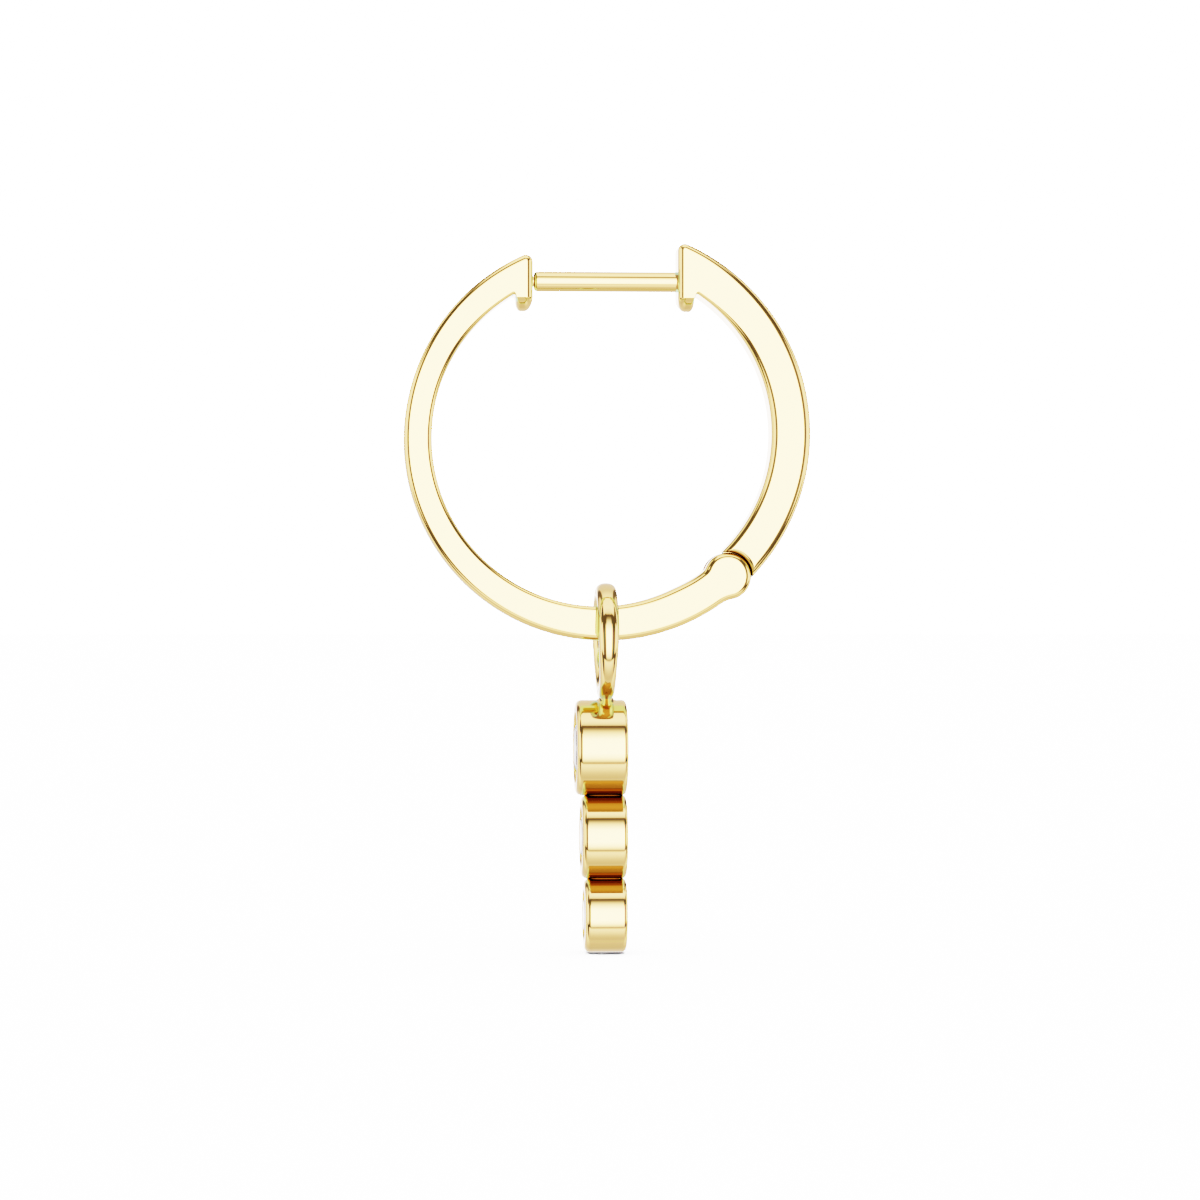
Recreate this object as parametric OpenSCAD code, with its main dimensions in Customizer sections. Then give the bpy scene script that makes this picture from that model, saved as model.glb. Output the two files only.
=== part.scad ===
// Hinged huggie hoop earring in yellow gold, with a drop of three bezel set brilliants.
// Millimetres. +Z is up, and the hoop lies in the XZ plane.
// The origin is the middle of the ear post, where the earring hangs in the lobe.
// The front arc and the stones' faces are on the -X side, the hinge is low on the +X side.

/* [Ear post] */
// Bare length of the post between the two end blocks
post_gap = 5; // [4:0.1:7]
// Diameter of the post
post_d = 0.7; // [0.6:0.05:0.9]
// Diameter of the tip that enters the front arc's slot
tip_d = 0.36; // [0.3:0.02:0.5]
// Length of the tip inside the slot
tip_l = 0.4; // [0.2:0.05:0.5]

/* [Hoop] */
// Width of the band along Y
band_w = 1.65; // [1.3:0.05:2.4]
// Distance from the post's axis down to the hoop's centre
hoop_drop = 5.25; // [4.6:0.05:6]
// Outer radius of the back arc
back_r = 7.06; // [6.5:0.02:8]
// Thickness of the back arc
back_t = 1.32; // [1:0.02:1.6]
// Outer radius of the front arc
front_r = 6.94; // [6.4:0.02:7.8]
// How far the front arc's outer circle is set lower than the back arc's
front_lower = 0.22; // [0:0.02:0.3]
// Thickness of the front arc at its far side, opposite the hinge
front_side_t = 0.97; // [0.8:0.01:1.2]
// Thickness of the front arc at the bottom of the hoop
front_foot_t = 1.2; // [1:0.01:1.5]
// Inner radius of the front arc
front_in_r = 5.76; // [5.4:0.02:6.4]
// Radius of the band's outer edges
outer_edge = 0.24; // [0.1:0.01:0.3]
// Radius of the band's inner edges
inner_edge = 0.2; // [0.1:0.01:0.25]

/* [End blocks] */
// Thickness of an end block along X
block_t = 0.64; // [0.5:0.02:0.9]
// How far an end block reaches below the post's axis
block_low = 1.04; // [0.8:0.02:1.3]
// Height of the rounded lobe at the bottom of an end block
lobe_h = 0.44; // [0.2:0.02:0.6]
// Radius of an end block's top corner
block_top_round = 0.2; // [0.1:0.01:0.3]
// Radius of the hollow corner between an end block and its arc
notch_round = 0.16; // [0.08:0.01:0.25]

/* [Hinge] */
// Direction of the hinge from the hoop's centre, below the horizontal
hinge_angle = 49.4; // [40:0.5:60]
// Radius of the front arc's round knuckle
knuckle_r = 0.784; // [0.7:0.01:0.9]
// Gap round the knuckle, to the hollow end of the back arc
knuckle_gap = 0.17; // [0.05:0.01:0.25]
// Thickness of the back arc's tongue between the two cheeks
tongue_t = 0.56; // [0.4:0.02:0.8]
// Gap at each side of the tongue
tongue_side_gap = 0.05; // [0.03:0.01:0.1]
// Gap between the tongue's round end and the slot that it turns in
tongue_end_gap = 0.1; // [0.05:0.01:0.2]
// Diameter of the hinge pin
pin_d = 0.44; // [0.3:0.02:0.6]
// Radial running clearance of the tongue on the pin
pin_run_gap = 0.04; // [0.01:0.01:0.08]
// Radial clearance of the pin in the cheeks
pin_seat_gap = 0.015; // [0.01:0.005:0.03]
// Skin of metal polished over each end of the pin
pin_cover = 0.1; // [0.05:0.01:0.2]

/* [Bail] */
// Gap at each side of the band inside the bail ring
bail_side_gap = 0.62; // [0.4:0.02:0.9]
// Thickness of the bail's wire, measured along the ring's radius
bail_wire_t = 0.6; // [0.5:0.02:0.8]
// Width of the bail's wire, measured along X
bail_wire_w = 0.7; // [0.5:0.02:0.9]
// Clearance between the bail and the band's edges, where it hangs
bail_hang_gap = 0.03; // [0.01:0.01:0.1]
// Place of the bail's plane along X
bail_x = 0.04; // [-0.3:0.02:0.3]
// How far the bail's foot sinks into the top cup
bail_sink = 0.05; // [0.02:0.01:0.1]
// Radius of the solder that spreads round the bail's foot
solder_r = 0.45; // [0.3:0.05:0.6]
// Height of that solder above the top cup
solder_h = 0.18; // [0.1:0.02:0.3]

/* [Stones and cups] */
// Diameter of the top stone
top_stone_d = 2.5; // [2:0.05:3]
// Diameter of the middle stone
middle_stone_d = 2.08; // [1.8:0.02:2.6]
// Diameter of the bottom stone
bottom_stone_d = 1.75; // [1.5:0.05:2.2]
// Depth of the top cup along X
top_cup_depth = 1.76; // [1.6:0.02:2.2]
// Depth of the middle cup along X
middle_cup_depth = 1.56; // [1.4:0.02:2]
// Depth of the bottom cup along X
bottom_cup_depth = 1.46; // [1.2:0.02:1.8]
// Wall of metal round each stone
cup_wall = 0.405; // [0.3:0.005:0.6]
// Distance from the bail's plane to the cups' flush backs
cup_back = 0.7; // [0.6:0.02:1]
// Radius of the cups' outer edges
cup_edge = 0.18; // [0.1:0.01:0.25]
// How far the rim leans in over each stone's edge
rim_grip = 0.04; // [0.02:0.01:0.08]
// Clearance between a stone and its seat
seat_gap = 0.04; // [0.03:0.01:0.06]
// How far soldered pieces run into each other
solder_bite = 0.02; // [0.01:0.01:0.08]
// Half width of the solder between two cups
web_half = 0.34; // [0.2:0.02:0.5]

/* [Cut of the stones] */
// Width of a stone's table, as a share of its diameter
table_share = 0.57; // [0.53:0.01:0.65]
// Angle of the crown's main facets
crown_angle = 34.5; // [32:0.5:36]
// Angle of the pavilion's main facets
pavilion_angle = 41; // [40:0.2:42]
// Thickness of the girdle, as a share of the diameter
girdle_share = 0.03; // [0.02:0.005:0.05]
// Length of the star facets, as a share of the way from table to girdle
star_share = 0.5; // [0.4:0.05:0.6]
// Length of the lower half facets, as a share of the way from girdle to culet
lower_half_share = 0.77; // [0.7:0.01:0.85]

/* [Hidden] */

gold = [0.9, 0.76, 0.42];
stone_white = [0.88, 0.9, 0.95];

// Fineness of the round shapes
$fn = 96;
// Steps in a rounded edge
edge_steps = 4;
// How far cutting tools reach past what they cut
over = 0.5;
// How far pieces of one solid run into each other
lap = 0.25;

// Hoop
back_in_r = back_r - back_t;
hoop_centre = [0, -hoop_drop];
front_centre = [0, -hoop_drop - front_lower];
front_in_centre = [front_side_t - front_r + front_in_r,
                   front_centre[1] - front_r + front_foot_t + front_in_r];
reach = 2 * back_r;

// Hinge: the knuckle is nearly flush with the back arc's inner side, and bulges at its outer side
knuckle_inset = 0.03;
hinge_r = back_in_r + knuckle_r - knuckle_inset;
hinge_x = hinge_r * cos(hinge_angle);
hinge_z = -hoop_drop - hinge_r * sin(hinge_angle);
cup_end_r = knuckle_r + knuckle_gap;
slot_half = tongue_t / 2 + tongue_side_gap;
slot_over = 0.02;
slot_r = knuckle_r + slot_over;
tongue_r = slot_r - tongue_end_gap;
neck_inset = 0.06;

// Latch: as the front arc swings open, the tip leaves its slot sideways and upwards
block_end = post_gap / 2;
tip_rise = tip_l * (hinge_x + block_end) / -hinge_z;
tip_gap = 0.04;
post_end_gap = 0.08;
post_edge = 0.08;
foot_edge = 0.1;

// Bail
band_foot_z = front_in_centre[1] - sqrt(pow(front_in_r, 2) - pow(front_in_centre[0] - bail_x, 2));
bail_in_r = band_w / 2 + bail_side_gap;
bail_r = bail_in_r + bail_wire_t / 2;
bail_z = band_foot_z - inner_edge
         - sqrt(pow(bail_in_r - inner_edge - bail_hang_gap, 2) - pow(band_w / 2 - inner_edge, 2));
bail_low_z = bail_z - bail_r - bail_wire_t / 2;

// Stones and cups
cups_back_x = bail_x + cup_back;
top_cup_r = top_stone_d / 2 + cup_wall;
middle_cup_r = middle_stone_d / 2 + cup_wall;
bottom_cup_r = bottom_stone_d / 2 + cup_wall;
top_z = bail_low_z + bail_sink - top_cup_r;
middle_z = top_z - top_cup_r - middle_cup_r + solder_bite;
bottom_z = middle_z - middle_cup_r - bottom_cup_r + solder_bite;
web_h = 0.24;
light_hole_share = 0.5;

// Points along a round edge, from one angle to another
function round_points(centre, r, from, to, steps = edge_steps) =
    [for (i = [0 : steps]) centre + r * [cos(from + (to - from) * i / steps), sin(from + (to - from) * i / steps)]];

// Height of a circle's upper side at a distance from its centre's upright
function circle_top(centre, r, x) = centre[1] + sqrt(pow(r, 2) - pow(x - centre[0], 2));

function mirrored_x(centre) = [-centre[0], centre[1]];

// Stands a flat outline of X and Z up, with a thickness along Y
module upright(thickness) {
    rotate([90, 0, 0])
        linear_extrude(height = thickness, center = true)
            children();
}

// Solid disc in the plane of the hoop, with a rounded rim
module rim_disc(centre, r, width, edge) {
    half = width / 2;
    translate([centre[0], 0, centre[1]])
        rotate([90, 0, 0])
            rotate_extrude()
                polygon(concat([[0, -half]],
                               round_points([r - edge, edge - half], edge, -90, 0),
                               round_points([r - edge, half - edge], edge, 0, 90),
                               [[0, half]]));
}

// Cutter for the inside of an arc, which rounds the band's inner edges
module inner_cutter(centre, r, width, edge) {
    half = width / 2;
    translate([centre[0], 0, centre[1]])
        rotate([90, 0, 0])
            rotate_extrude()
                polygon(concat([[0, -half - over], [r + edge, -half - over]],
                               round_points([r + edge, edge - half], edge, 270, 180),
                               round_points([r + edge, half - edge], edge, 180, 90),
                               [[r + edge, half + over], [0, half + over]]));
}

module hinge_cylinder(r, length) {
    translate([hinge_x, 0, hinge_z])
        rotate([90, 0, 0])
            cylinder(r = r, h = length, center = true);
}

// The side of the hoop that the back arc takes, from its block down to the hinge
module back_side() {
    start = block_end + lap;
    fall = tan(hinge_angle);
    polygon([[start, -hoop_drop - start * fall],
             [start, reach],
             [reach, reach],
             [reach, -hoop_drop - reach * fall]]);
}

// The side that the front arc takes, from its block round the bottom to the hinge
module front_side() {
    start = -block_end - lap;
    polygon([hoop_centre,
             hoop_centre + 2 * reach * [cos(hinge_angle), -sin(hinge_angle)],
             [reach, -3 * reach],
             [-reach, -3 * reach],
             [-reach, reach],
             [start, reach],
             [start, -hoop_drop]]);
}

// Outline of an end block for the +X side, as seen from the front. Its top corner follows the
// arc's outer circle, its foot hangs below, and a hollow corner joins it to the inner circle.
module block_outline(out_centre, out_r, in_centre, in_r) {
    top_x = block_end + block_top_round;
    top_z = circle_top(out_centre, out_r - block_top_round, top_x);
    slope = atan2(top_z - out_centre[1], top_x - out_centre[0]);
    far_x = block_end + block_t;
    notch_x = far_x + notch_round;
    notch_z = circle_top(in_centre, in_r - notch_round, notch_x);
    aim = atan2(notch_z - in_centre[1], notch_x - in_centre[0]);
    foot_z = foot_edge - block_low;
    polygon(concat(round_points([block_end + foot_edge, foot_z], foot_edge, 270, 180),
                   round_points([top_x, top_z], block_top_round, 180, slope),
                   [in_centre + (in_r + lap) * [cos(aim), sin(aim)]],
                   round_points([notch_x, notch_z], notch_round, aim, 180),
                   round_points([far_x - foot_edge, foot_z], foot_edge, 0, -90)));
}

// Cutter that rounds the upright edges of an end block, at both sides of the band
module end_edge_cutter() {
    half = band_w / 2;
    edge = inner_edge;
    for (side = [0, 1])
        mirror([0, side, 0])
            translate([0, 0, -block_low - over])
                linear_extrude(height = 2 * reach)
                    polygon(concat([[block_end - over, edge - half]],
                                   round_points([block_end + edge, edge - half], edge, 180, 270),
                                   [[block_end + edge, -half - over], [block_end - over, -half - over]]));
}

// Outline of the band at an end block, as seen along the post: its foot is a rounded lobe
module lobe_outline() {
    half = band_w / 2;
    lobe_r = (pow(lobe_h, 2) + pow(half, 2)) / (2 * lobe_h);
    lobe_turn = asin(half / lobe_r);
    polygon(concat([[half, reach], [-half, reach]],
                   round_points([0, lobe_r - block_low], lobe_r, -90 - lobe_turn, lobe_turn - 90, 3 * edge_steps)));
}

// End block of an arc, for the +X side
module end_block(out_centre, out_r, in_centre, in_r) {
    difference() {
        intersection() {
            upright(band_w + over)
                block_outline(out_centre, out_r, in_centre, in_r);
            rotate([90, 0, 90])
                linear_extrude(height = reach)
                    lobe_outline();
            rim_disc(out_centre, out_r, band_w, outer_edge);
        }
        end_edge_cutter();
    }
}

// Ear post along X: its free end is rounded and carries the thinner tip
module ear_post() {
    r = post_d / 2;
    start = -block_end + post_end_gap;
    length = block_end + lap - start;
    translate([start, 0, 0])
        rotate([0, 90, 0])
            rotate_extrude()
                polygon(concat([[0, -tip_l - post_end_gap],
                                [tip_d / 2, -tip_l - post_end_gap],
                                [tip_d / 2, 0]],
                               round_points([r - post_edge, post_edge], post_edge, -90, 0),
                               [[r, length], [0, length]]));
}

// Tongue of the hinge, with a neck into the back arc
module tongue() {
    hinge_cylinder(tongue_r, tongue_t);
    intersection() {
        upright(tongue_t)
            intersection() {
                back_side();
                translate(hoop_centre)
                    difference() {
                        circle(r = back_r - neck_inset);
                        circle(r = back_in_r + neck_inset);
                    }
            }
        hinge_cylinder(cup_end_r + lap, tongue_t);
    }
}

module back_arc() {
    color(gold)
        difference() {
            union() {
                difference() {
                    intersection() {
                        upright(band_w + over)
                            back_side();
                        rim_disc(hoop_centre, back_r, band_w, outer_edge);
                    }
                    inner_cutter(hoop_centre, back_in_r, band_w, inner_edge);
                    hinge_cylinder(cup_end_r, band_w + over);
                }
                end_block(hoop_centre, back_r, hoop_centre, back_in_r);
                ear_post();
                tongue();
            }
            hinge_cylinder(pin_d / 2 + pin_run_gap, tongue_t + over);
        }
}

module front_arc() {
    latch_half = tip_d / 2 + tip_gap;
    color(gold)
        difference() {
            union() {
                difference() {
                    intersection() {
                        upright(band_w + over)
                            front_side();
                        rim_disc(front_centre, front_r, band_w, outer_edge);
                    }
                    inner_cutter(front_in_centre, front_in_r, band_w, inner_edge);
                }
                rim_disc([hinge_x, hinge_z], knuckle_r, band_w, inner_edge);
                mirror([1, 0, 0])
                    end_block(mirrored_x(front_centre), front_r, mirrored_x(front_in_centre), front_in_r);
            }
            // space for the back arc's tongue
            hinge_cylinder(slot_r, 2 * slot_half);
            // blind seats for the pin, under the polished skin of the cheeks
            hinge_cylinder(pin_d / 2 + pin_seat_gap, band_w - 2 * pin_cover);
            // latch slot for the post's tip, open upwards for the way that the tip leaves
            translate([-block_end - tip_l - tip_gap, -latch_half, -latch_half])
                cube([tip_l + tip_gap + over, 2 * latch_half, 2 * latch_half + tip_rise]);
        }
}

module hinge_pin() {
    color(gold)
        hinge_cylinder(pin_d / 2, band_w - 2 * pin_cover - 2 * pin_seat_gap);
}

// Share of a stone's radius that its crown or pavilion falls through
function crown_h(r) = r * (1 - table_share) * tan(crown_angle);
function pavilion_h(r) = r * tan(pavilion_angle);
function girdle_h(r) = 2 * r * girdle_share;

// Turns a shape made round Z, with its top up, so that its top faces -X
module facing_front(x, z) {
    translate([x, 0, z])
        rotate([0, -90, 0])
            children();
}

// Round bezel cup, solid, standing on its back face
module cup_body(r, depth) {
    rotate_extrude()
        polygon(concat([[0, 0]],
                       round_points([r - cup_edge, cup_edge], cup_edge, -90, 0),
                       round_points([r - cup_edge, depth - cup_edge], cup_edge, 0, 90),
                       [[0, depth]]));
}

// Seat of a stone and the light hole behind it, as the shape to cut from a cup
module cup_seat(stone_r, depth) {
    mouth_r = stone_r - rim_grip;
    seat_r = stone_r + seat_gap;
    girdle_top = depth - crown_h(stone_r);
    girdle_low = girdle_top - girdle_h(stone_r);
    hole_r = light_hole_share * stone_r;
    crown_fall = tan(crown_angle);
    rotate_extrude()
        polygon([[0, -over],
                 [hole_r, -over],
                 [hole_r, girdle_low - (seat_r - hole_r) * tan(pavilion_angle)],
                 [seat_r, girdle_low],
                 [seat_r, girdle_top],
                 [mouth_r, girdle_top + (seat_r - mouth_r) * crown_fall],
                 [mouth_r, depth + over],
                 [0, depth + over]]);
}

// Round brilliant, table up: the girdle's lower edge is at z = 0
module brilliant(r) {
    sides = 8;
    table_r = r * table_share;
    top = girdle_h(r);
    crown = crown_h(r);
    crown_fall = crown / (r - table_r);
    half_turn = 180 / sides;
    star_r = table_r * cos(half_turn) + star_share * (r - table_r * cos(half_turn));
    star_z = top + crown - crown_fall * (star_r * cos(half_turn) - table_r);
    low = pavilion_h(r);
    low_r = r * (1 - lower_half_share);
    low_z = low * (low_r * cos(half_turn) / r - 1);
    corners = [for (k = [0 : sides - 1]) 2 * half_turn * k];
    girdle = [for (k = [0 : 2 * sides - 1]) half_turn * k];
    points = concat([for (a = corners) [table_r * cos(a), table_r * sin(a), top + crown]],
                    [for (a = corners) [star_r * cos(a + half_turn), star_r * sin(a + half_turn), star_z]],
                    [for (a = girdle) [r * cos(a), r * sin(a), top]],
                    [for (a = girdle) [r * cos(a), r * sin(a), 0]],
                    [for (a = corners) [low_r * cos(a + half_turn), low_r * sin(a + half_turn), low_z]],
                    [[0, 0, -low]]);
    star = sides;
    upper = 2 * sides;
    lower = 4 * sides;
    heel = 6 * sides;
    culet = 7 * sides;
    faces = concat([[for (k = [sides - 1 : -1 : 0]) k]],
                   [for (k = [0 : sides - 1]) let (next = (k + 1) % sides) [k, next, star + k]],
                   [for (k = [0 : sides - 1]) let (prev = (k + sides - 1) % sides)
                       [k, star + k, upper + 2 * k, star + prev]],
                   [for (k = [0 : sides - 1]) [star + k, upper + 2 * k + 1, upper + 2 * k]],
                   [for (k = [0 : sides - 1]) let (next = (k + 1) % sides)
                       [star + k, upper + 2 * next, upper + 2 * k + 1]],
                   [for (k = [0 : 2 * sides - 1]) let (next = (k + 1) % (2 * sides))
                       [upper + k, upper + next, lower + next, lower + k]],
                   [for (k = [0 : sides - 1]) [heel + k, lower + 2 * k, lower + 2 * k + 1]],
                   [for (k = [0 : sides - 1]) let (next = (k + 1) % sides)
                       [heel + k, lower + 2 * k + 1, lower + 2 * next]],
                   [for (k = [0 : sides - 1]) let (prev = (k + sides - 1) % sides)
                       [culet, heel + prev, lower + 2 * k, heel + k]]);
    polyhedron(points = points, faces = faces);
}

// A stone in its place in a cup of the given depth
module set_stone(d, depth, z) {
    r = d / 2;
    color(stone_white)
        facing_front(cups_back_x - depth, z)
            translate([0, 0, -crown_h(r) - girdle_h(r)])
                brilliant(r);
}

// Ring of flattened round wire in the YZ plane
module bail() {
    wire_r = bail_wire_t / 2;
    flat = (bail_wire_w - bail_wire_t) / 2;
    translate([bail_x, 0, bail_z])
        rotate([0, 90, 0])
            rotate_extrude()
                translate([bail_r, 0])
                    polygon(concat(round_points([0, flat], wire_r, 0, 180, 4 * edge_steps),
                                   round_points([0, -flat], wire_r, 180, 360, 4 * edge_steps)));
}

// Solder that ties the upper cup to the lower one at a height
module web(z, depth) {
    length = depth - 2 * cup_edge;
    translate([cups_back_x - cup_edge - length, -web_half, z - web_h / 2])
        cube([length, 2 * web_half, web_h]);
}

// Solder round the bail's foot: it starts inside the top cup, under its curved side
module bail_solder() {
    start = top_cup_r - sqrt(pow(top_cup_r, 2) - pow(solder_r, 2)) + solder_bite;
    translate([bail_x, 0, top_z + top_cup_r - start])
        cylinder(r1 = solder_r, r2 = bail_wire_w / 2, h = start + solder_h);
}

module charm_setting() {
    color(gold)
        difference() {
            union() {
                bail();
                bail_solder();
                facing_front(cups_back_x, top_z)
                    cup_body(top_cup_r, top_cup_depth);
                facing_front(cups_back_x, middle_z)
                    cup_body(middle_cup_r, middle_cup_depth);
                facing_front(cups_back_x, bottom_z)
                    cup_body(bottom_cup_r, bottom_cup_depth);
                web(top_z - top_cup_r, middle_cup_depth);
                web(middle_z - middle_cup_r, bottom_cup_depth);
            }
            facing_front(cups_back_x, top_z)
                cup_seat(top_stone_d / 2, top_cup_depth);
            facing_front(cups_back_x, middle_z)
                cup_seat(middle_stone_d / 2, middle_cup_depth);
            facing_front(cups_back_x, bottom_z)
                cup_seat(bottom_stone_d / 2, bottom_cup_depth);
        }
}

module stone_top() {
    set_stone(top_stone_d, top_cup_depth, top_z);
}

module stone_middle() {
    set_stone(middle_stone_d, middle_cup_depth, middle_z);
}

module stone_bottom() {
    set_stone(bottom_stone_d, bottom_cup_depth, bottom_z);
}

back_arc();
front_arc();
hinge_pin();
charm_setting();
stone_top();
stone_middle();
stone_bottom();
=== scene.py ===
import math
from collections import namedtuple

import bmesh
import bpy
from mathutils import Matrix, Vector


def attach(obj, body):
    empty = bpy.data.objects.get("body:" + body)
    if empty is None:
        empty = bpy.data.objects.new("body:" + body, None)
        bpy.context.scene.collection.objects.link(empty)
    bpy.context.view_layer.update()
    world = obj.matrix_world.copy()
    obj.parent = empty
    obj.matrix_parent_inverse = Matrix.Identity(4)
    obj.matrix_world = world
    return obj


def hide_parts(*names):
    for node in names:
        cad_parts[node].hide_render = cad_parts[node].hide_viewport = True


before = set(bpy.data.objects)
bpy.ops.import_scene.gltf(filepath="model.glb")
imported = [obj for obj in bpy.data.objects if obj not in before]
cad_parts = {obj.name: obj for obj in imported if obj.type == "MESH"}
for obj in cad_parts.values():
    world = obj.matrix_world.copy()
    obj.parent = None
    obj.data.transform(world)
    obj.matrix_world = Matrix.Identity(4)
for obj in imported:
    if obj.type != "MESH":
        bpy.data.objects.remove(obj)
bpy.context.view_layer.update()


# Back arc of the hoop, solid yellow gold, cast and then polished on a wheel until every edge is soft.
# Its upper end is a block that carries the ear post, and its lower end is hollowed round the hinge
# knuckle, with a tongue between that turns on the hinge pin. All lengths are in millimetres.
MM = 0.001
BAND_HALF = 0.825
HOOP_CENTRE = Vector((0, -5.25))
BACK_OUT_R = 7.1
BACK_IN_R = 5.74
BLOCK_END = 2.5
BLOCK_FAR = 3.1
BLOCK_LOW = -1.04
BLOCK_CREASE = -0.6
# the block's foot, then the flat face's points behind its toe, sole, heel and notch
FOOT_X = 0.29
FOOT_Z = 0.44
HEEL_X = 0.18
HEEL_Z = 0.34
NOTCH_R = 0.06
TOE_FACE_X = 2.85
SOLE_FACE_X = 2.98
HEEL_FACE_X = 3.05
NOTCH_FACE_X = 3.12
NOTCH_FACE_Z = -0.42
NOTCH_PULL_X = 3.19
NOTCH_PULL_Z = -0.34
HINGE = Vector((4.2261, -10.1807))
HINGE_CUP_R = 0.845
HINGE_LIP = 0.18
HINGE_LIP_DEPTH = 0.16
TONGUE_R = 0.704
TONGUE_T = 0.56
TONGUE_ROOT_T = 1.24
TONGUE_HOLE_R = 0.26
TONGUE_EDGE = 0.03
POST_R = 0.35
POST_ROOT = 0.25
POST_FREE_END = -2.455
POST_END_ROUND = 0.13
TIP_R = 0.18
TIP_END = -2.9
BACK_BLOCK_EDGE = 0.225
OUTER_EDGE = 0.29
INNER_EDGE = 0.25
NOTCH_EDGE = 0.13
MERGE_DISTANCE = 0.0002
SHARP_FROM = 32


class Wire:
    """A socket of a shader, used in sums like a number."""

    family = "ShaderNode"

    def __init__(self, tree, plug=None):
        self.tree = tree
        self.plug = plug

    def node(self, kind, settings=None, sockets=None, out=0):
        made = self.tree.nodes.new(self.family + kind)
        for name, value in (settings or {}).items():
            if name == "stops":
                for spare in list(made.color_ramp.elements)[1:]:
                    made.color_ramp.elements.remove(spare)
                made.color_ramp.elements[0].position = value[0][0]
                for place, _ in value[1:]:
                    made.color_ramp.elements.new(place)
                for element, (_, level) in zip(made.color_ramp.elements, value):
                    element.color = (level, level, level, 1)
            else:
                setattr(made, name, value)
        for name, value in (sockets or {}).items():
            if isinstance(value, Wire):
                self.tree.links.new(value.plug, made.inputs[name])
            else:
                made.inputs[name].default_value = value
        return type(self)(self.tree, made.outputs[out]) if made.outputs else made

    def maths(self, work, first, second=0.0):
        return self.node("Math", {"operation": work}, {0: first, 1: second})

    def __add__(self, other):
        return self.maths("ADD", self, other)

    def __sub__(self, other):
        return self.maths("SUBTRACT", self, other)

    def __mul__(self, other):
        return self.maths("MULTIPLY", self, other)

    def __truediv__(self, other):
        return self.maths("DIVIDE", self, other)

    def __rsub__(self, other):
        return self.maths("SUBTRACT", other, self)

    __radd__ = __add__
    __rmul__ = __mul__


def polished_gold():
    """Yellow gold from the polishing wheel, with faint clouds in its tone and its gloss."""
    gold = bpy.data.materials.new("polished_gold")
    gold.use_nodes = True
    gold.node_tree.nodes.clear()
    bench = Wire(gold.node_tree)
    place = bench.node("TexCoord", out="Object")
    clouds = bench.node("TexNoise", {"noise_dimensions": "3D"},
                        {"Vector": place, "Scale": 320.0, "Detail": 2.0, "Roughness": 0.5})
    haze = bench.node("TexNoise", {"noise_dimensions": "3D"},
                      {"Vector": place, "Scale": 2600.0, "Detail": 4.0, "Roughness": 0.6})
    tone = bench.node("Mix", {"data_type": "RGBA"},
                      {0: clouds, 6: (1.0, 0.58, 0.196, 1), 7: (1.0, 0.6, 0.214, 1)}, out=2)
    ripple = bench.node("Bump", {}, {"Strength": 0.015, "Distance": 0.00002, "Height": haze})
    metal = bench.node("BsdfPrincipled", {}, {"Base Color": tone, "Metallic": 1.0,
                                              "Roughness": 0.035 + haze * 0.03, "Normal": ripple})
    bench.node("OutputMaterial", {}, {"Surface": metal})
    return gold


GOLD = polished_gold()


def towards(degrees):
    return Vector((math.cos(math.radians(degrees)), math.sin(math.radians(degrees))))


def shares(steps):
    return [step / steps for step in range(steps + 1)]


def ease(value):
    value = min(max(value, 0.0), 1.0)
    return value * value * (3 - 2 * value)


def blend(low, high, share):
    return low + (high - low) * share


def circle_top(centre, radius, x):
    return centre[1] + math.sqrt(radius ** 2 - (x - centre[0]) ** 2)


def circles_cross(first, first_r, second, second_r, side):
    """Where two circles cross, on the left (1) or right (-1) of the way from the first to the second."""
    way = second - first
    along = (first_r ** 2 - second_r ** 2 + way.length_squared) / (2 * way.length)
    across = math.sqrt(first_r ** 2 - along ** 2)
    ahead = way.normalized()
    return first + ahead * along + Vector((-ahead.y, ahead.x)) * across * side


def heading(centre, point):
    return math.degrees(math.atan2(point.y - centre[1], point.x - centre[0]))


def bend(centre, radius, start, end, steps, soft, metal):
    """A stretch of an outline along a circle. Each row of an outline has an edge point, a face point,
    the edge's rounding, and how far the side bulges as a lobe, from 0 to 1.
    metal is -1 where the metal lies inside the circle and 1 where it lies outside."""
    middle = Vector(centre)
    made = []
    for share in shares(steps):
        way = towards(blend(start, end, share))
        made.append((middle + way * radius, middle + way * (radius + metal * soft), soft, 0.0))
    return made


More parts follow.
